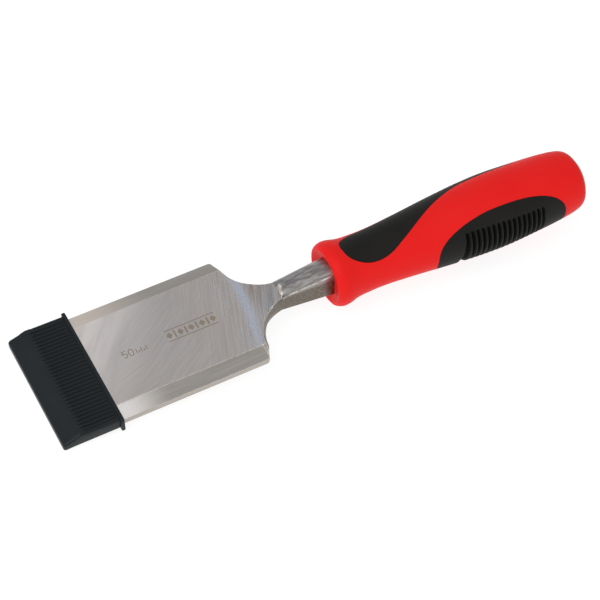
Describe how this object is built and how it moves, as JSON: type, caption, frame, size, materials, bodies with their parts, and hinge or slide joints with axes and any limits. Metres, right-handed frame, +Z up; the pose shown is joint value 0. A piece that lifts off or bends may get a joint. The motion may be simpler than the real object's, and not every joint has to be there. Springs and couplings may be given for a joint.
{
  "type": "bevel-edge chisel",
  "caption": "Wide bevel-edge chisel: ground steel blade with concave shoulders, moulded handle with soft ribbed grips, steel strike cap and a ribbed slip-on blade guard.",
  "frame": {"origin": "middle of the bounding box on the table plane the chisel lies on", "axes": "+X from the cutting edge to the butt, +Z up from the table, +Y across the blade; the tool axis rises 5.09 degrees towards the butt because the chisel lies on its guard and on the front lip of its handle"},
  "size_m": [0.2266, 0.054, 0.0339],
  "materials": {
    "ground_steel": "ground and brushed",
    "red_plastic": "satin moulded",
    "soft_grip": "matte moulded, ribbed",
    "cap_steel": "plated",
    "guard_plastic": "satin moulded, ribbed"
  },
  "bodies": {
    "tool": {"blade": "ground_steel", "handle_body": "red_plastic", "grip_near": "soft_grip", "grip_sweep": "soft_grip", "strike_cap": "cap_steel"},
    "guard": {"blade_guard": "guard_plastic"}
  },
  "joints": [
    {"name": "guard_pull_off", "type": "slide", "parent": "tool", "child": "guard", "axis": [-0.9961, 0, -0.0888], "range_m": [0, 0.06]}
  ]
}
